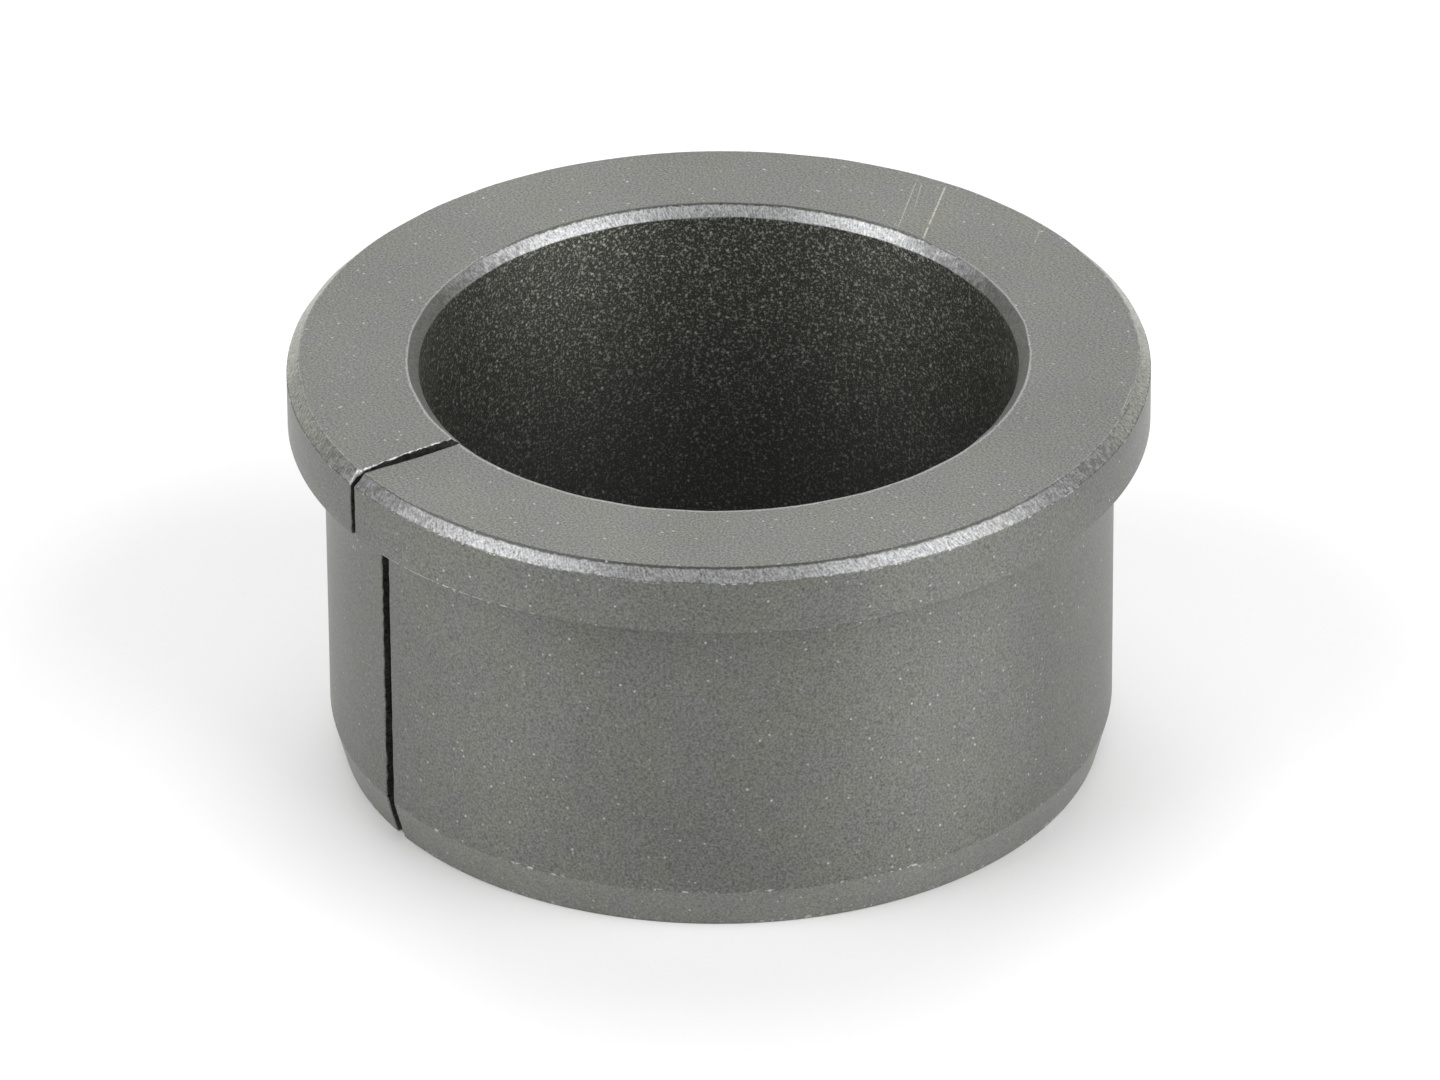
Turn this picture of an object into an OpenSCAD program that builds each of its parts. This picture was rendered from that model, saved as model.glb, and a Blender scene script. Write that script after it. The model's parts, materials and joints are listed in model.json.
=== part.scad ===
// Split flanged sleeve bushing: one turned and slit piece of metal.
// It stands on its lead-in end with the flange up. Origin at the centre of the bottom face,
// +Z along the bore towards the flange, -Y through the slit. Millimetres.

/* [Sleeve] */
// Diameter of the bore
bore_d = 25; // [20:0.5:28]
// Outside diameter of the sleeve
sleeve_d = 33; // [31:0.5:35]
// Overall length along the bore, flange included
length = 18; // [10:0.5:40]

/* [Flange] */
// Outside diameter of the flange
flange_d = 36; // [36:0.5:44]
// Thickness of the flange
flange_t = 2.9; // [2:0.1:5]

/* [Edges] */
// Chamfer on the flange's upper rim, at 45 degrees
rim_chamfer = 0.5; // [0.2:0.05:1]
// Fine break on the flange's lower rim, at 45 degrees
rim_break = 0.06; // [0.02:0.02:0.2]
// Chamfer at both ends of the bore, at 45 degrees
bore_chamfer = 0.45; // [0.2:0.05:0.8]
// Length of the lead-in taper at the sleeve's lower end
lead_in_len = 1.9; // [1:0.1:3]
// Angle between the lead-in taper and the bore's axis
lead_in_angle = 15; // [10:1:20]

/* [Slit] */
// Width of the slit through the sleeve and the inner part of the flange
slit_w = 0.57; // [0.3:0.01:1.5]
// Width of the slit at the flange's rim, where its lips pinch together
slit_rim_w = 0.33; // [0.2:0.01:1]

/* [Hidden] */
$fn = 180;
bore_r = bore_d / 2;
sleeve_r = sleeve_d / 2;
flange_r = flange_d / 2;
flange_z = length - flange_t;                        // underside of the flange
lead_in_depth = lead_in_len * tan(lead_in_angle);
pinch_start_r = sleeve_r - 1.5;                      // the slit starts to narrow here
pinch_end_r = sleeve_r + 0.5;                        // and keeps its rim width from here on
overrun = 1;                                         // how far a cut runs past the metal

// Half of the bushing's section, as radius and height.
module wall_section() {
    polygon([
        [bore_r + bore_chamfer, 0],
        [sleeve_r - lead_in_depth, 0],
        [sleeve_r, lead_in_len],
        [sleeve_r, flange_z],
        [flange_r - rim_break, flange_z],
        [flange_r, flange_z + rim_break],
        [flange_r, length - rim_chamfer],
        [flange_r - rim_chamfer, length],
        [bore_r + bore_chamfer, length],
        [bore_r, length - bore_chamfer],
        [bore_r, bore_chamfer]
    ]);
}

// The slit below the flange: one width through the whole wall, towards -Y.
module sleeve_slit() {
    translate([-slit_w / 2, -flange_r - overrun, -overrun])
        cube([slit_w, flange_r + overrun, flange_z + overrun]);
}

// The slit through the flange, seen along the bore: it narrows towards the rim.
module flange_slit() {
    translate([0, 0, flange_z])
        linear_extrude(flange_t + overrun)
            polygon([
                [-slit_w / 2, 0],
                [-slit_w / 2, -pinch_start_r],
                [-slit_rim_w / 2, -pinch_end_r],
                [-slit_rim_w / 2, -flange_r - overrun],
                [slit_rim_w / 2, -flange_r - overrun],
                [slit_rim_w / 2, -pinch_end_r],
                [slit_w / 2, -pinch_start_r],
                [slit_w / 2, 0]
            ]);
}

module split_flanged_bush() {
    color([0.43, 0.43, 0.41])
        difference() {
            rotate_extrude() wall_section();
            sleeve_slit();
            flange_slit();
        }
}

split_flanged_bush();
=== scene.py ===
import json
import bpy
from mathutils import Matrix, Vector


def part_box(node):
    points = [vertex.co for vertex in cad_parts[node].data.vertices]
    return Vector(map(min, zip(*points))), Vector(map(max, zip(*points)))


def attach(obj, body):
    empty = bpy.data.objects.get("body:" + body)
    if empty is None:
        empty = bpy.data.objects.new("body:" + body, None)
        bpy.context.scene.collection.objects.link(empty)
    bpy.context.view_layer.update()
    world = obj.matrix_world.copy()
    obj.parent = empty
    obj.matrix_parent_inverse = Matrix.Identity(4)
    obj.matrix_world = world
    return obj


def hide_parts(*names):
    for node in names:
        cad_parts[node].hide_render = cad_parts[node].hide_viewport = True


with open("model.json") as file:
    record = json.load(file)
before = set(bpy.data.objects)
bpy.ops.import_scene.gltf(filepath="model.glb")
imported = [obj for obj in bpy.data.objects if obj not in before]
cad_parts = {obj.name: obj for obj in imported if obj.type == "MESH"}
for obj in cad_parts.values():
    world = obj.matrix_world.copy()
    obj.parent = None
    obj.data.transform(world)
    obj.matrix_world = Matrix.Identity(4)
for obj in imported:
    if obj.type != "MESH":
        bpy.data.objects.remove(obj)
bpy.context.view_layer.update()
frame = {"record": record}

from types import SimpleNamespace

import bpy
import numpy as np
from mathutils import Matrix, Vector

# A split flanged sleeve bushing: one turned piece of dark metal with a saw cut through its wall.
# Everything but the slit is turned, so a place on the bushing is given by its angle round the bore,
# counted from the middle of the slit, its radius and its height. Sizes are in metres.

# ------------------------------------------------------------------------------ sizes
MM = 0.001
TURN = 2 * np.pi
NODE = "split_flanged_bush"
LEAD_IN_ANGLE = np.radians(15)
low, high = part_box(NODE)
mounts = {mount["name"]: mount for mount in frame["record"]["mounts"]}
bore, sleeve = mounts["bore"]["dims"], mounts["sleeve_outside"]["dims"]
length = high.z - low.z
flange_r = high.x
bore_r = bore["r_mm"] * MM
bore_chamfer = (length - bore["length_mm"] * MM) / 2
sleeve_r = sleeve["r_mm"] * MM
sleeve_mid = mounts["sleeve_outside"]["pos_m"][2]
lead_in_top = sleeve_mid - sleeve["length_mm"] * MM / 2
flange_z = sleeve_mid + sleeve["length_mm"] * MM / 2
lead_in_depth = lead_in_top * np.tan(LEAD_IN_ANGLE)
rim_chamfer = 0.5 * MM
rim_break = 0.06 * MM
slit_w = 0.57 * MM
slit_rim_w = 0.33 * MM
pinch_start_r = sleeve_r - 1.5 * MM
pinch_end_r = sleeve_r + 0.5 * MM

rng = np.random.default_rng(7)


def unit(v):
    """Vectors divided by their own length."""
    return v / np.linalg.norm(v, axis=-1, keepdims=True)


# ------------------------------------------------------------------------------ uneven lines
class RingWaves:
    """An uneven line round the bushing: a sum of sine waves that each go round a whole number of
    times, so that the line closes. Their lengths along the rim lie between the two given."""

    def __init__(self, height, shortest, longest, waves=48):
        self.height = height * np.sqrt(2 / waves)
        self.counts = rng.integers(int(TURN * flange_r / longest), int(TURN * flange_r / shortest), waves)
        self.phases = rng.uniform(0, TURN, waves)

    def __call__(self, angles):
        return self.height * np.sin(np.multiply.outer(angles, self.counts) + self.phases).sum(-1)


class WallWaves:
    """An uneven surface over radius and height: a sum of plane sine waves that run in all
    directions, with lengths between the two given."""

    def __init__(self, height, shortest, longest, waves=64):
        self.height = height * np.sqrt(2 / waves)
        pace, heading = TURN / rng.uniform(shortest, longest, waves), rng.uniform(0, TURN, waves)
        self.steps = np.stack([pace * np.cos(heading), pace * np.sin(heading)])
        self.phases = rng.uniform(0, TURN, waves)

    def __call__(self, section):
        return self.height * np.sin(section @ self.steps + self.phases).sum(-1)


# ------------------------------------------------------------------------------ the turned outline
# Corners from the bottom face outwards, up the outside, inwards over the top and down the bore:
# radius, height, the size of the small round on it, the steps over that round, and the steps along
# the straight run that follows, close to the slit and round the rest.
CORNERS = {
    "bottom_out": (sleeve_r - lead_in_depth, 0, 0.10 * MM, 4, 6, 2),
    "lead_in": (sleeve_r, lead_in_top, 1.00 * MM, 3, 44, 4),
    "under_flange": (sleeve_r, flange_z, 0.10 * MM, 3, 8, 2),
    "break_low": (flange_r - rim_break, flange_z, 0.03 * MM, 2, 1, 1),
    "break_high": (flange_r, flange_z + rim_break, 0.03 * MM, 2, 12, 3),
    "rim": (flange_r, length - rim_chamfer, 0.05 * MM, 3, 6, 3),
    "face_out": (flange_r - rim_chamfer, length, 0.06 * MM, 4, 40, 4),
    "face_in": (bore_r + bore_chamfer, length, 0.10 * MM, 4, 6, 3),
    "bore_top": (bore_r, length - bore_chamfer, 0.04 * MM, 3, 72, 4),
    "bore_low": (bore_r, bore_chamfer, 0.04 * MM, 3, 6, 2),
    "bottom_in": (bore_r + bore_chamfer, 0, 0.06 * MM, 4, 40, 2),
}
FACE_STEPS = 40                                      # across the bottom face and the flange's face

# How far a chamfer's edge strays, along the face beside it.
EDGE_WANDER = {
    "face_out": ((1, 0), RingWaves(0.012 * MM, 3 * MM, 20 * MM)),
    "rim": ((0, 1), RingWaves(0.010 * MM, 3 * MM, 20 * MM)),
    "face_in": ((1, 0), RingWaves(0.012 * MM, 3 * MM, 20 * MM)),
    "bore_top": ((0, 1), RingWaves(0.008 * MM, 3 * MM, 20 * MM)),
}


def round_corner(before, corner, after, radius, steps):
    """Points over the round on a corner. The arc's centre lies on the line that halves the corner's
    angle, and each point's direction from it is turned evenly from the first tangent point's
    direction to the last one's."""
    back, ahead = unit(before - corner), unit(after - corner)
    half = np.arccos(np.clip((back * ahead).sum(-1, keepdims=True), -1, 1)) / 2
    centre = corner + unit(back + ahead) * radius / np.sin(half)
    reach = radius / np.tan(half)
    first, last = corner + back * reach - centre, corner + ahead * reach - centre
    sweep = np.pi - 2 * half
    t = np.linspace(0, 1, steps + 1)[:, None, None]
    return centre + (np.sin((1 - t) * sweep) * first + np.sin(t * sweep) * last) / np.sin(sweep)


def outline(angles):
    """The bushing's outline at each angle: points by angles by (radius, height). Straight runs of
    even steps join the rounds on the corners. It starts where the bottom face begins."""
    sizes = list(CORNERS.values())
    corners = np.array([size[:2] for size in sizes])[:, None, :] + np.zeros((1, len(angles), 2))
    for name, (along, waves) in EDGE_WANDER.items():
        corners[list(CORNERS).index(name)] += waves(angles)[:, None] * np.array(along)
    count = len(sizes)
    rounds = [
        round_corner(corners[i - 1], corners[i], corners[(i + 1) % count], sizes[i][2], sizes[i][3])
        for i in range(count)
    ]
    points = []
    for i in range(-1, count - 1):
        t = np.arange(1, sizes[i][4])[:, None, None] / sizes[i][4]
        run = rounds[i][-1] * (1 - t) + rounds[i + 1][0] * t
        points += [rounds[i][-1:], run, rounds[i + 1][:-1]]
    return np.concatenate(points)


def coarse_steps():
    """Which of the outline's points are kept away from the slit, and each corner's middle point."""
    kept, middles, at = [], {}, 0
    names = list(CORNERS)
    for i, name in enumerate(names):
        fine, coarse = CORNERS[names[i - 1]][4:]
        kept += [at + fine * k // coarse for k in range(coarse)]
        at += fine
        steps = CORNERS[name][3]
        middles[name] = at + steps // 2
        kept += list(range(at, at + steps))
        at += steps
    return np.array(kept), middles


COARSE, MIDDLES = coarse_steps()
mean_line = outline(np.linspace(0, TURN, 400)).mean(1)
OUTLINE_STEPS = len(mean_line)
SIDE_STEPS = (OUTLINE_STEPS - 2 * FACE_STEPS) // 2
# How far along the outline each point lies, from where the bottom face begins.
station = np.concatenate([[0], np.linalg.norm(np.diff(mean_line, axis=0), axis=1).cumsum()])
STATIONS = {name: station[middle] for name, middle in MIDDLES.items()}


def outward(line, reach):
    """The outline's outward direction at each point, averaged over its neighbours with a bell
    curve of the given reach, so that it swings slowly round a corner."""
    tangent = unit(np.roll(line, -1, 0) - np.roll(line, 1, 0))
    normal = np.stack([tangent[:, 1], -tangent[:, 0]], -1)
    span = station[-1] + np.linalg.norm(line[0] - line[-1])
    apart = np.abs(station[:, None] - station[None, :])
    weight = np.exp(-((np.minimum(apart, span - apart) / reach) ** 2))
    share = np.abs(np.roll(station, -1) - np.roll(station, 1))
    return unit((weight * np.minimum(share, span / 2)) @ normal)


# ------------------------------------------------------------------------------ the slit
# Side 0 of the slit, the near lip, lies towards +X, and side 1, the far lip, towards -X.
SAW_WAVES = [WallWaves(0.008 * MM, 0.25 * MM, 1.2 * MM), WallWaves(0.013 * MM, 0.2 * MM, 0.9 * MM)]
BREAK_WAVES = [WallWaves(0.008 * MM, 0.3 * MM, 1 * MM), WallWaves(0.026 * MM, 0.15 * MM, 0.8 * MM)]
SLIT_EDGE_BREAK = [0.03 * MM, 0.06 * MM]
LEAST_BREAK = 0.015 * MM
EDGE_REACH = 0.12 * MM                               # how softly the broken edge turns a corner
CORNER_BREAK = 0.14 * MM                             # extra on the far lip's corner at the rim
CORNER_REACH = 0.45 * MM                             # how far from that corner it fades
PINCH_DEPTH = 0.12 * MM                              # how far below the flange the narrowing starts


def smooth(x):
    """0 below 0, 1 above 1, and an even S between."""
    x = np.clip(x, 0, 1)
    return x * x * (3 - 2 * x)


def half_slit(section, side):
    """Half the slit's width at a radius and height: even through the sleeve, and in the flange it
    narrows in a straight line between two radii. The saw's marks make it uneven."""
    r, z = section[..., 0], section[..., 1]
    in_flange = smooth((z - flange_z) / PINCH_DEPTH + 1)
    pinched = np.interp(r, [pinch_start_r, pinch_end_r], [slit_w, slit_rim_w])
    return (slit_w + (pinched - slit_w) * in_flange) / 2 + SAW_WAVES[side](section)


def edge_break(side):
    """How deep the slit's edge is broken at each point of the outline: uneven, and deeper on the
    far lip where it crosses the flange's chamfer."""
    size = SLIT_EDGE_BREAK[side] + BREAK_WAVES[side](mean_line)
    at_rim = np.exp(-(((station - STATIONS["face_out"]) / CORNER_REACH) ** 2))
    return np.maximum(size, LEAST_BREAK) + side * CORNER_BREAK * at_rim


# ------------------------------------------------------------------------------ the mesh
BESIDE_SLIT = np.radians(3.5)                        # where the finely stepped strips end
STRIP_ROWS = 14
ROW_CROWDING = 1.8                                   # above 1, rows crowd towards the slit
ROUND_ROWS = 1270


def in_place(section, angles):
    """Points in space from radius, height and angle: the slit's middle, at angle 0, lies on -Y, and
    angles grow towards +X."""
    r, z = section[..., 0], section[..., 1]
    return np.stack([r * np.sin(angles), -r * np.cos(angles), z], -1)


def strip(side):
    """One strip beside the slit, as rows by outline points, from the slit's edge to where the round
    part begins: its section, its angles and how bare the metal is. Rows crowd towards the slit.
    The edge break is a quarter round that meets the wall of the slit and the surface."""
    depth = edge_break(side)
    inward = -outward(mean_line, EDGE_REACH)
    edge = mean_line + inward * depth[:, None]
    start = np.arcsin(half_slit(edge, side) / edge[:, 0])
    t = np.linspace(0, 1, STRIP_ROWS)[:, None] ** ROW_CROWDING
    angles = start + t * (BESIDE_SLIT - start)
    from_edge = (angles - start) * mean_line[:, 0]
    left = np.clip(1 - from_edge / depth, 0, 1)
    drop = depth * (1 - np.sqrt(1 - left**2))
    signed = angles if side == 0 else TURN - angles
    shape = outline(signed[:, 0]).transpose(1, 0, 2)
    section = shape + inward * drop[..., None]
    return section, signed, left


def wall_grid(edge):
    """A grid over one wall of the slit, as heights by radii: a Coons patch, which adds the blend of
    the two sides to the blend of the two ends and takes away the blend of the four corners."""
    bottom = edge[: FACE_STEPS + 1]
    outside = edge[FACE_STEPS : FACE_STEPS + SIDE_STEPS + 1]
    top = edge[FACE_STEPS + SIDE_STEPS : 2 * FACE_STEPS + SIDE_STEPS + 1][::-1]
    inside = np.concatenate([edge[2 * FACE_STEPS + SIDE_STEPS :], edge[:1]])[::-1]
    u = np.linspace(0, 1, FACE_STEPS + 1)[None, :, None]
    v = np.linspace(0, 1, SIDE_STEPS + 1)[:, None, None]
    sides = inside[:, None] * (1 - u) + outside[:, None] * u
    ends = bottom[None] * (1 - v) + top[None] * v
    low_corners = bottom[0] * (1 - u) + bottom[-1] * u
    high_corners = top[0] * (1 - u) + top[-1] * u
    return sides + ends - low_corners * (1 - v) - high_corners * v


def wall_border():
    """The outline point that each border point of a wall's grid is, and -1 inside the grid."""
    border = np.full((SIDE_STEPS + 1, FACE_STEPS + 1), -1)
    border[0] = np.arange(FACE_STEPS + 1)
    border[:, -1] = FACE_STEPS + np.arange(SIDE_STEPS + 1)
    border[-1] = 2 * FACE_STEPS + SIDE_STEPS - np.arange(FACE_STEPS + 1)
    border[:, 0] = -np.arange(SIDE_STEPS + 1) % OUTLINE_STEPS
    return border


def quads(grid, closed):
    """Four-sided faces between the rows and columns of a grid of vertex numbers. With closed, the
    last column joins the first."""
    ahead = np.roll(grid, -1, 1) if closed else grid[:, 1:]
    here = grid if closed else grid[:, :-1]
    return np.stack([here[:-1], here[1:], ahead[1:], ahead[:-1]], -1).reshape(-1, 4)


def seam(fine, coarse, fine_first):
    """Faces that join a finely stepped row to a coarsely stepped one, one for each coarse step.
    Which row comes first round the bushing decides the order of a face's points, so that every
    face points outwards."""
    ends = np.append(COARSE, OUTLINE_STEPS)
    faces = []
    for i in range(len(COARSE)):
        side = fine[np.arange(ends[i], ends[i + 1] + 1) % OUTLINE_STEPS].tolist()
        step = [int(coarse[i]), int(coarse[(i + 1) % len(COARSE)])]
        faces.append(side[:1] + step + side[:0:-1] if fine_first else step[:1] + side + step[1:])
    return faces


class Points:
    """The mesh's points as they are added. Each has a place, the distances in mm round the flange's
    rim and along the outline at which it lies, and how bare the metal is there."""

    def __init__(self):
        self.places = np.empty((0, 3))
        self.lathe = np.empty((0, 3))
        self.bare = np.empty(0)

    def add(self, section, angles, lathe, bare):
        """Adds points, and gives back their numbers in the same layout."""
        numbers = len(self.bare) + np.arange(angles.size).reshape(angles.shape)
        self.places = np.concatenate([self.places, in_place(section, angles).reshape(-1, 3)])
        self.lathe = np.concatenate([self.lathe, lathe.reshape(-1, 3)])
        self.bare = np.concatenate([self.bare, bare.ravel()])
        return numbers


def add_turned(points, section, angles, bare):
    """Adds rows of outline points, every point with its angle, and gives back their numbers."""
    along = station if section.shape[1] == OUTLINE_STEPS else station[COARSE]
    lathe = np.stack([angles * flange_r, np.broadcast_to(along, angles.shape), 0 * angles], -1) / MM
    return points.add(section, angles, lathe, bare)


def add_wall(points, edge, edge_numbers, side):
    """Adds the points inside one wall of the slit, and gives back the wall's faces. Its border is
    the edge of the strip beside it, given as radius and height and as numbers of points."""
    wall = wall_grid(edge)
    angles = np.arcsin(half_slit(wall, side) / wall[..., 0]) * (1 - 2 * side)
    border = wall_border()
    inner = border < 0
    numbers = edge_numbers[border]
    count = inner.sum()
    numbers[inner] = points.add(wall[inner], angles[inner], np.zeros((count, 3)), np.zeros(count))
    faces = quads(numbers, False)
    return (faces if side else faces[:, ::-1]).tolist()


def make_bushing():
    """The bushing's mesh. The outline is swept round the bore, in fine steps on a strip at each side
    of the slit and in coarse steps round the rest, and a grid closes each wall of the slit."""
    points = Points()
    angles = np.linspace(BESIDE_SLIT, TURN - BESIDE_SLIT, ROUND_ROWS + 2)[1:-1]
    round_section = outline(angles)[COARSE].transpose(1, 0, 2)
    round_angles = np.repeat(angles[:, None], len(COARSE), 1)
    near_section, near_angles, near_bare = strip(0)
    far_section, far_angles, far_bare = strip(1)
    near_grid = add_turned(points, near_section, near_angles, near_bare)
    round_grid = add_turned(points, round_section, round_angles, 0 * round_angles)
    far_grid = add_turned(points, far_section, far_angles, far_bare)

    turned_grids = (near_grid, round_grid, far_grid[::-1])
    faces = np.concatenate([quads(grid, True) for grid in turned_grids]).tolist()
    faces += seam(near_grid[-1], round_grid[0], True) + seam(far_grid[-1], round_grid[-1], False)
    outside_faces = len(faces)
    faces += add_wall(points, near_section[0], near_grid[0], 0)
    faces += add_wall(points, far_section[0], far_grid[0], 1)

    mesh = bpy.data.meshes.new("split_bush")
    mesh.from_pydata(points.places.tolist(), [], faces)
    lathe = mesh.attributes.new("lathe", "FLOAT_VECTOR", "POINT")
    lathe.data.foreach_set("vector", points.lathe.astype(np.float32).ravel())
    bare = mesh.attributes.new("bare", "FLOAT", "POINT")
    bare.data.foreach_set("value", points.bare.astype(np.float32))
    is_wall = np.arange(len(faces)) >= outside_faces
    mesh.polygons.foreach_set("material_index", is_wall.astype(np.int32))
    mesh.polygons.foreach_set("use_smooth", np.ones(len(faces), bool))
    mesh.set_sharp_from_angle(angle=np.radians(50))
    piece = bpy.data.objects.new("split_bush", mesh)
    bpy.context.scene.collection.objects.link(piece)
    weighted = piece.modifiers.new("even_shading", "WEIGHTED_NORMAL")
    weighted.keep_sharp = True
    return piece


# ------------------------------------------------------------------------------ finishes
class Tone:
    """A value that varies over a surface: one output of a finish's nodes. Arithmetic on it adds
    Math nodes, so that a formula is read as it is written."""

    def __init__(self, finish, socket):
        self.finish = finish
        self.socket = socket

    def output(self, name):
        """Another output of the node that this tone comes from."""
        return Tone(self.finish, self.socket.node.outputs[name])

    def maths(self, operation, *values):
        """One Math node on the given values."""
        return self.finish.add("ShaderNodeMath", {"operation": operation}, dict(enumerate(values)))

    def __add__(self, other):
        return self.maths("ADD", self, other)

    def __sub__(self, other):
        return self.maths("SUBTRACT", self, other)

    def __rsub__(self, other):
        return self.maths("SUBTRACT", other, self)

    def __mul__(self, other):
        return self.maths("MULTIPLY", self, other)

    def __truediv__(self, other):
        return self.maths("DIVIDE", self, other)

    def __abs__(self):
        return self.maths("ABSOLUTE", self)

    __radd__ = __add__
    __rmul__ = __mul__

    def least(self, other):
        """The smaller of two values."""
        return self.maths("MINIMUM", self, other)

    def most(self, other):
        """The larger of two values."""
        return self.maths("MAXIMUM", self, other)

    def rise(self, start, end, low=0.0, high=1.0):
        """low below start, high above end, and an even S between."""
        sockets = {"Value": self, "From Min": start, "From Max": end, "To Min": low, "To Max": high}
        return self.finish.add("ShaderNodeMapRange", {"interpolation_type": "SMOOTHSTEP"}, sockets)

    def within(self, start, end, edge):
        """1 between start and end and 0 outside, with a soft edge of the given width."""
        return self.rise(start, start + edge) * self.rise(end - edge, end, 1.0, 0.0)


class Finish:
    """A material, with the nodes that its patterns are made of. Lengths in it are millimetres."""

    def __init__(self, name, **constants):
        self.material = bpy.data.materials.new(name)
        self.material.use_nodes = True
        self.tree = self.material.node_tree
        self.shader = self.tree.nodes["Principled BSDF"]
        for socket, value in constants.items():
            self.shader.inputs[socket.replace("_", " ")].default_value = value

    def add(self, kind, settings, sockets, output=0):
        """Any node: its settings first, then a value or a link for each socket named."""
        node = self.tree.nodes.new(kind)
        for name, value in settings.items():
            setattr(node, name, value)
        for name, value in sockets.items():
            if isinstance(value, Tone):
                self.tree.links.new(value.socket, node.inputs[name])
            else:
                node.inputs[name].default_value = value
        return Tone(self, node.outputs[output])

    def feed(self, **sockets):
        """Links tones to the shader's sockets."""
        for name, tone in sockets.items():
            self.tree.links.new(tone.socket, self.shader.inputs[name.replace("_", " ")])

    def vector(self, operation, sockets, output="Vector"):
        """Maths on points, directions and colours."""
        return self.add("ShaderNodeVectorMath", {"operation": operation}, sockets, output)

    def place(self):
        """The point on the piece, in millimetres."""
        point = self.add("ShaderNodeTexCoord", {}, {}, "Object")
        return self.vector("SCALE", {0: point, "Scale": 1 / MM})

    def moved(self, point, distance):
        """The point moved, so that a pattern made from it differs from one made from the point."""
        return self.vector("ADD", {0: point, 1: (distance, distance, distance)})

    def dot(self, point, direction):
        """How far the point lies along a direction."""
        return self.vector("DOT_PRODUCT", {0: point, 1: direction}, "Value")

    def grain(self, point, size, detail=2.0, sharpness=0.5):
        """Cloudy noise whose lumps are about size across, from 0 to 1. Detail and sharpness set how
        much finer noise is laid over it."""
        sockets = {"Vector": point, "Scale": 1 / size, "Detail": detail, "Roughness": sharpness}
        return self.add("ShaderNodeTexNoise", {}, sockets, "Fac")

    def flecks(self, point, pitch, size):
        """Small separate spots, some bright and most faint: up to 1 in the middle of a spot,
        falling to 0 at half of size. One spot lies in each cell of the given pitch."""
        sockets = {"Vector": point, "Scale": 1 / pitch}
        cells = self.add("ShaderNodeTexVoronoi", {"feature": "F1"}, sockets, "Distance")
        strength = cells.output("Color").rise(0.1, 1.0)
        return cells.rise(0.0, size / pitch / 2, 1.0, 0.0) * strength

    def mix(self, share, first, second):
        """A colour between two colours. The Mix node's colour sockets are its 7th and 8th inputs
        and its third output."""
        return self.add("ShaderNodeMix", {"data_type": "RGBA"}, {0: share, 6: first, 7: second}, 2)

    def scaled(self, tone, colour):
        """A colour made lighter or darker by a tone."""
        colour = colour if isinstance(colour, Tone) else colour[:3]
        return self.vector("SCALE", {0: colour, "Scale": tone})

    def bump(self, height, strength, depth):
        """The surface's normal over a height pattern, which is depth millimetres deep."""
        sockets = {"Height": height, "Strength": strength, "Distance": depth * MM}
        return self.add("ShaderNodeBump", {}, sockets)


# Slight tints, as factors on red, green and blue.
FILM_TINT = (1.020, 1.042, 0.915)
COOL_TINT = (1.000, 1.022, 0.958)
DEEP_TINT = (1.035, 1.060, 0.905)
STEEL_TINT = (0.990, 1.000, 1.010)
RUST = (0.30, 0.17, 0.09, 1)
SCRATCH_COLOUR = (0.60, 0.54, 0.45, 1)
# How light each surface is, and how rough.
FILM = 0.148
# The bore's film is painted darker than the outside's as shade; PAINTED_GLINT is how light its painted
# glints are.
SHADED_BORE_FILM = 0.036
PAINTED_GLINT = 0.40
SPECK = 0.60
STEEL = 0.32
# LIP_STEEL_GLINT is bare steel on the slit's lips, made lighter as a painted glint.
LIP_STEEL_GLINT = 0.62
# The slit's sawn walls are painted dark with the shade inside the narrow slit.
SHADED_SAWN_DARK = 0.02
SHADED_SAWN_LIGHT = 0.11
FILM_ROUGH = 0.50
STEEL_ROUGH = 0.41
METAL_SHARE = 0.65                                   # how much of each surface shines as metal does


def shade(value, tint=FILM_TINT):
    """A grey of the given lightness, with a slight tint, as a colour."""
    return tuple(value * part for part in tint) + (1.0,)


# Where each corner lies along the outline, in mm.
AT = {name: value / MM for name, value in STATIONS.items()}

# Painted light and shade differ round the bushing. A painted shade line runs beside the rim's
# chamfer on the side that this direction points to, and beside the bore's chamfer on the opposite
# side. Elsewhere those edges carry painted highlights, and the chamfers' steel is painted lighter
# or darker by side.
PAINTED_LIGHT_AXIS = (0.838, -0.546, 0.0)

# Scratches on the flange's face: where each starts and ends, as an angle from the slit in degrees
# and a radius in mm, then its width in mm and its strength.
SCRATCHES = [
    (202.7, 17.3, 194.8, 12.9, 0.075, 1.0),
    (207.3, 17.3, 201.1, 13.0, 0.05, 0.6),
    (206.2, 17.1, 202.6, 14.8, 0.04, 0.5),
    (184.6, 17.3, 181.0, 16.1, 0.05, 0.5),
    (180.1, 15.9, 171.5, 14.3, 0.035, 0.3),
    (183.1, 13.7, 181.4, 14.0, 0.06, 0.8),
    (137.6, 17.4, 129.4, 17.4, 0.05, 0.6),
]


def scratch_marks(finish, point):
    """Up to 1 along each scratch on the flange's face: near to the line through its ends, between
    them, and broken up by fine noise."""
    marks = 0.0
    for start_angle, start_r, end_angle, end_r, width, strength in SCRATCHES:
        angles, radii = np.radians([start_angle, end_angle]), np.array([start_r, end_r])
        start, end = np.stack([radii * np.sin(angles), -radii * np.cos(angles)], -1)
        reach = float(np.linalg.norm(end - start))
        x, y = (end - start) / reach
        across = finish.dot(point, (-y, x, 0)) - float(start @ (-y, x))
        beyond_start = finish.dot(point, (x, y, 0)) - float(start @ (x, y))
        line = abs(across).rise(width * 0.3, width * 0.7, 1.0, 0.0)
        marks = line * beyond_start.within(0, reach, 0.3) * strength + marks
    return marks * finish.grain(point, 0.25, 2.0).rise(0.3, 0.55)


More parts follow.
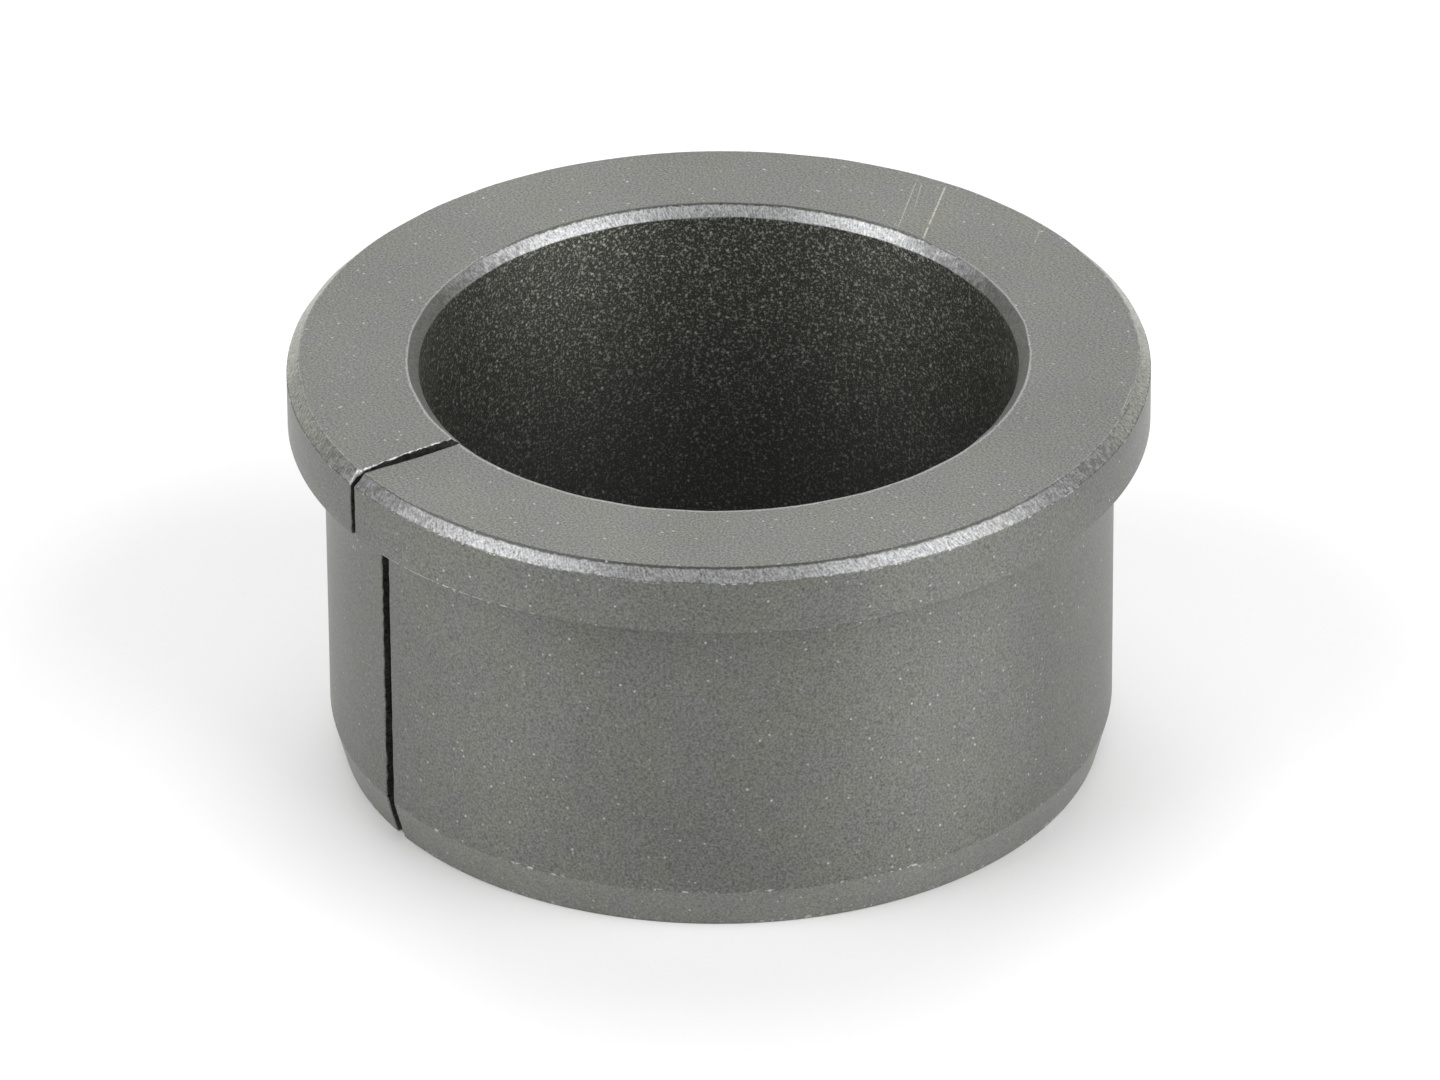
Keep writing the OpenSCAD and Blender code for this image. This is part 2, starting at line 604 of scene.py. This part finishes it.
def turned_places(finish):
    """Tones for where a point lies on the turned surface. around and along are its distances in mm
    round the flange's rim and along the outline, and uneven is along, strayed a little by noise.
    turn falls from 1 on the side that PAINTED_LIGHT_AXIS points to, to -1 on the opposite side. front, back
    and beside are 1 on the first, on the second and between them, and steer where light and shade
    are painted. rim, mouth and tail are the chamfers, lips is the slit's broken edge on the flange,
    whose steel carries a painted glint, and patchy breaks wear and painted highlights up into spots."""
    point = finish.place()
    lathe = finish.add("ShaderNodeAttribute", {"attribute_name": "lathe"}, {}, "Vector")
    around = finish.add("ShaderNodeSeparateXYZ", {}, {"Vector": lathe}, "X")
    along = around.output("Y")
    uneven = along + (finish.grain(point, 0.20, 1.0) * 0.15 - 0.075)
    radius = finish.vector("LENGTH", {0: finish.vector("MULTIPLY", {0: point, 1: (1, 1, 0)})}, "Value")
    turn = finish.dot(point, PAINTED_LIGHT_AXIS) / radius
    front = turn.rise(0.50, 0.85)
    back = turn.rise(-0.85, -0.50, 1.0, 0.0)
    patchy = finish.grain(point, 0.22, 1.0).rise(0.40, 0.56)
    lips = finish.add("ShaderNodeAttribute", {"attribute_name": "bare"}, {}, "Fac").rise(0.25, 0.6)
    return SimpleNamespace(
        point=point, around=around, along=along, uneven=uneven, turn=turn, patchy=patchy,
        front=front, back=back, beside=abs(turn).rise(0.35, 0.60, 1.0, 0.0),
        rim=uneven.within(AT["rim"] + 0.03, AT["face_out"] - front * 0.10, 0.04),
        mouth=uneven.within(AT["face_in"] + back * 0.08, AT["bore_top"] + 0.06, 0.04),
        tail=uneven.within(AT["bore_low"] - 0.03, AT["bottom_in"] + 0.03, 0.04),
        lips=lips * along.within(AT["rim"] - 0.1, AT["face_in"] + 0.3, 0.1) * (patchy * 0.6 + 0.4),
    )


def worn_film_and_highlights(finish, on):
    """How far the film is rubbed through, in scuffs along the edges and at the foot of the lead-in, and
    where it is painted paler as highlights: thin lines along the flange's lower edge near the slit
    and along the flange face's two edges, except where a painted shade line runs."""
    scuffs = finish.grain(on.point, 0.22, 2.0).rise(0.56, 0.62)
    scuffs = scuffs * finish.grain(on.point, 1.7, 1.0).rise(0.45, 0.6)
    # Painted highlight: the flange's lower edge near the slit is painted paler, in spots.
    slit_side_highlight = on.around.within(1.0, 10.0, 3.0) * on.patchy
    low_edge = on.along.within(AT["break_low"] - 0.06, AT["break_high"] + 0.06, 0.04)
    corner = on.along.within(AT["rim"] - 0.05, AT["rim"] + 0.05, 0.04)
    shoulder = on.along.within(AT["lead_in"] - 0.09, AT["lead_in"] + 0.09, 0.07)
    foot = on.along.within(AT["bottom_out"], AT["bottom_out"] + 0.25, 0.1)
    # Painted highlights along the flange face's two edges, off the side with a painted shade line.
    mouth_edge_highlight = on.uneven + on.turn.rise(-0.3, 0.5) * 0.07
    mouth_edge_highlight = mouth_edge_highlight.within(AT["face_in"] - 0.07, AT["face_in"] + 0.06, 0.04) * (1 - on.back)
    face_edge_highlight = on.uneven.within(AT["face_out"] - 0.03, AT["face_out"] + 0.06, 0.04) * (1 - on.front)
    rubbed = (low_edge * 0.5 + corner * 0.8 + shoulder * 0.8 + foot * 0.6) * scuffs
    return rubbed + low_edge * slit_side_highlight * 0.4 + mouth_edge_highlight * 0.30 + face_edge_highlight * on.patchy * 0.30


def film_colour(finish, on, grain):
    """The dark film: clouds, grain and two slight tints, painted shade lines beside the chamfers, a
    painted shadow along the flange's lower edge and painted light on the lead-in, and over them pale
    specks, worn spots with painted highlights, scratches and a little rust."""
    clouds = finish.grain(on.point, 4.0, 3.0)
    on_face = on.along.within(AT["face_out"], AT["face_in"], 0.05)
    # Painted shade: dark lines beside the two chamfers, and a painted shadow on the flange's lower edge.
    rim_shade_line = on.uneven.within(AT["face_out"] - 0.10, AT["face_out"] + 0.06, 0.04) * on.front
    mouth_shade_line = on.uneven.within(AT["face_in"] - 0.06, AT["face_in"] + 0.08, 0.04) * on.back
    flange_edge_shadow = on.along.within(AT["break_low"] - 0.03, AT["break_high"] + 0.02, 0.02)
    lines = rim_shade_line * 0.50 + mouth_shade_line * 0.42 + flange_edge_shadow * 0.30
    # Painted light: the lead-in is made lighter, as light bounced up from the floor would make it.
    lead_in = on.along.within(AT["bottom_out"], AT["lead_in"], 0.1)
    tone = 1 + (clouds - 0.5) * 0.25 + (grain - 0.5) * (1.7 + on_face * 0.5) + lead_in * 0.3
    tint = finish.grain(on.point, 1.8, 2.0).rise(0.35, 0.65)
    colour = finish.scaled(tone * (1 - lines), finish.mix(tint, shade(FILM), shade(FILM, COOL_TINT)))
    pale = (finish.flecks(on.point, 0.45, 0.16) + worn_film_and_highlights(finish, on)).least(1.0)
    colour = finish.mix(pale, colour, shade(SPECK, STEEL_TINT))
    colour = finish.mix(scratch_marks(finish, on.point) * on_face * 0.55, colour, SCRATCH_COLOUR)
    return finish.mix(finish.flecks(finish.moved(on.point, 7.3), 1.6, 0.16) * 0.8, colour, RUST)


def bore_shade_and_glints(finish, on):
    """The bore's film, painted darker than the film outside as shade, with painted glints in three
    sizes. Both fade with depth, as painted shade.
    """
    coarse = finish.grain(on.point, 0.13, 1.0).rise(0.50, 0.74)
    fine = finish.grain(on.point, 0.065, 1.0).rise(0.50, 0.76)
    painted_glints = coarse * 0.48 + fine * 0.36 + finish.flecks(on.point, 0.30, 0.18) * 1.5
    painted_glints = painted_glints * on.along.rise(AT["bore_top"] + 2, AT["bore_top"] + 13, 1.0, 0.6)
    colour = finish.mix(painted_glints, shade(SHADED_BORE_FILM, DEEP_TINT), shade(PAINTED_GLINT, DEEP_TINT))
    # Painted shade: the bore darkens with depth.
    return finish.scaled(on.along.rise(AT["bore_top"], AT["bore_top"] + 14, 1.35, 0.65), colour)


def turned_metal():
    """The turned surface: a thin dark oily film over steel, with grooves too fine to see that
    stretch its sheen along the bore. In the bore the film carries painted shade, deepening with
    depth, and painted glints. It is worn to brighter steel, with fine slanting marks, on the chamfers
    and along the slit's lips on the flange; the chamfers' steel is painted lighter or darker by side,
    and the lips' steel is painted lighter still, as a glint."""
    finish = Finish(
        "turned_metal", Metallic=METAL_SHARE, Anisotropic=0.7, Anisotropic_Rotation=0.25,
        Coat_Weight=0.22, Coat_Roughness=0.35,
    )
    on = turned_places(finish)
    grain = finish.grain(on.point, 0.10, 1.0)
    inside_bore = on.along.within(AT["bore_top"], AT["bore_low"], 0.03)
    film = finish.mix(inside_bore, film_colour(finish, on, grain), bore_shade_and_glints(finish, on))

    sockets = {"X": on.around / 0.10 + on.along / 0.25, "Y": on.along / 0.3}
    slanted = finish.add("ShaderNodeCombineXYZ", {}, sockets)
    marks = finish.grain(slanted, 1.0, 1.0) * 0.5 + finish.grain(on.point, 0.09, 1.0) * 0.5
    # Painted highlight and shade by side: the bore's chamfer lighter but darker at the sides, the rim's
    # chamfer lighter at the sides, and the steel at the sides takes the film's tint.
    lightness = 0.94 + on.mouth * (0.26 - on.beside * 0.55) + on.rim * on.beside * 0.12
    steel = finish.mix(on.beside, shade(STEEL, STEEL_TINT), shade(STEEL))
    steel = finish.scaled((1 + (marks - 0.5) * 3.2) * lightness, steel)
    # The slit's lips on the flange: bare steel made lighter still, a painted glint.
    steel = finish.mix(on.lips, steel, shade(LIP_STEEL_GLINT, STEEL_TINT))

    # Painted shade by side: the chamfers show blotches of film only at the sides, and the bore's chamfer
    # shows more film there.
    blotches = finish.grain(on.point, 0.30, 3.0).rise(0.46, 0.56) * abs(on.turn).within(0.30, 0.85, 0.15)
    chamfers = on.rim * (1 - blotches * 0.50) + on.mouth * (1 - on.beside * 0.40 - blotches * 0.45) + on.tail
    bare = chamfers.most(on.lips)
    finish.feed(
        Base_Color=finish.mix(bare, film, steel),
        Roughness=FILM_ROUGH + (grain - 0.5) * 0.15 - bare * (FILM_ROUGH - STEEL_ROUGH),
        Normal=finish.bump(grain * (1 - bare) + marks * bare, 0.4, 0.012),
    )
    return finish.material


def sawn_metal():
    """The walls of the slit: rough, with the saw's marks across them, and painted dark with the shade
    in the narrow slit.
    """
    finish = Finish("sawn_metal", Metallic=METAL_SHARE)
    point = finish.place()
    lying = finish.vector("MULTIPLY", {0: point, 1: (1, 1, 4)})
    tone = finish.grain(lying, 0.3) * 0.5 + finish.grain(point, 0.12, 3.0, 0.6) * 0.5
    finish.feed(
        Base_Color=finish.mix(tone.rise(0.3, 0.7), shade(SHADED_SAWN_DARK), shade(SHADED_SAWN_LIGHT)),
        Roughness=tone * 0.3 + 0.40,
        Normal=finish.bump(tone, 0.8, 0.05),
    )
    return finish.material


# ------------------------------------------------------------------------------ the stage
camera_azimuth = np.radians(56.9)
camera_elevation = np.radians(30.44)
camera_distance = 0.5698
camera_roll = np.radians(-0.43)
camera_lens = 339.5


def on_sphere(azimuth, elevation):
    """The direction from the bushing at an azimuth, 0 in front of the slit, and an elevation."""
    flat = np.cos(elevation)
    return Vector((np.sin(azimuth) * flat, -np.cos(azimuth) * flat, np.sin(elevation)))


def aimed(name, data, place, target, roll=0.0):
    """A camera or light at a place, looking at a target with +Z up, then rolled."""
    forward = (target - place).normalized()
    right = forward.cross(Vector((0, 0, 1))).normalized()
    axes = Matrix((right, right.cross(forward), -forward)).transposed().to_4x4()
    thing = bpy.data.objects.new(name, data)
    thing.matrix_world = Matrix.Translation(place) @ axes @ Matrix.Rotation(roll, 4, "Z")
    bpy.context.scene.collection.objects.link(thing)
    return thing


def make_camera():
    """A long lens, above the bushing and off to one side of the slit."""
    data = bpy.data.cameras.new("camera")
    data.lens = camera_lens
    data.sensor_width = 36
    data.clip_start = 0.01
    data.clip_end = 20
    target = Vector((0, 0, length / 2))
    place = target + on_sphere(camera_azimuth, camera_elevation) * camera_distance
    bpy.context.scene.camera = aimed("camera", data, place, target, camera_roll)


LIGHT_DISTANCE = 1.2
FLOOR_RADIUS = 2.0
# Each soft panel: its direction round the bushing in degrees, 0 behind the camera and growing
# towards the camera's right, its elevation, its width and height in metres, and its watts.
PANELS = {
    "left_panel": (-68, 32, 1.1, 1.3, 5.8),
    "left_core_panel": (-68, 40, 0.7, 0.8, 3.8),
    "right_panel": (62, 29, 1.1, 1.3, 14.4),
    "back_panel": (183, 32, 0.9, 0.6, 2.5),
    "overhead_panel": (180, 60, 0.9, 0.9, 5.4),
    "front_panel": (0, 62, 0.6, 0.6, 0.65),
}
ROOM_LIGHT = 0.225


def make_lights():
    """Large soft panels on both sides, behind and above, and a little light from all round."""
    for name, (azimuth, elevation, width, height, watts) in PANELS.items():
        data = bpy.data.lights.new(name, "AREA")
        data.shape = "RECTANGLE"
        data.size = width
        data.size_y = height
        data.energy = watts
        towards = on_sphere(camera_azimuth + np.radians(azimuth), np.radians(elevation))
        panel = aimed(name, data, towards * LIGHT_DISTANCE, Vector((0, 0, 0)))
        panel.visible_camera = False
    world = bpy.data.worlds.new("room")
    world.use_nodes = True
    background = world.node_tree.nodes["Background"]
    background.inputs["Color"].default_value = (1, 1, 1, 1)
    background.inputs["Strength"].default_value = ROOM_LIGHT
    bpy.context.scene.world = world


def make_floor():
    """A plain pale disc under the bushing."""
    angles = np.linspace(0, TURN, 96, endpoint=False)
    rim = np.stack([FLOOR_RADIUS * np.sin(angles), -FLOOR_RADIUS * np.cos(angles), 0 * angles], -1)
    mesh = bpy.data.meshes.new("floor")
    mesh.from_pydata(rim.tolist(), [], [list(range(len(rim)))])
    finish = Finish("pale_floor", Base_Color=(0.95, 0.95, 0.95, 1), Roughness=0.9)
    mesh.materials.append(finish.material)
    floor = bpy.data.objects.new("floor", mesh)
    bpy.context.scene.collection.objects.link(floor)


bpy.context.scene.view_settings.view_transform = "Standard"
bushing = make_bushing()
bushing.data.materials.append(turned_metal())
bushing.data.materials.append(sawn_metal())
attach(bushing, "root")
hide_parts(NODE)
make_camera()
make_lights()
make_floor()
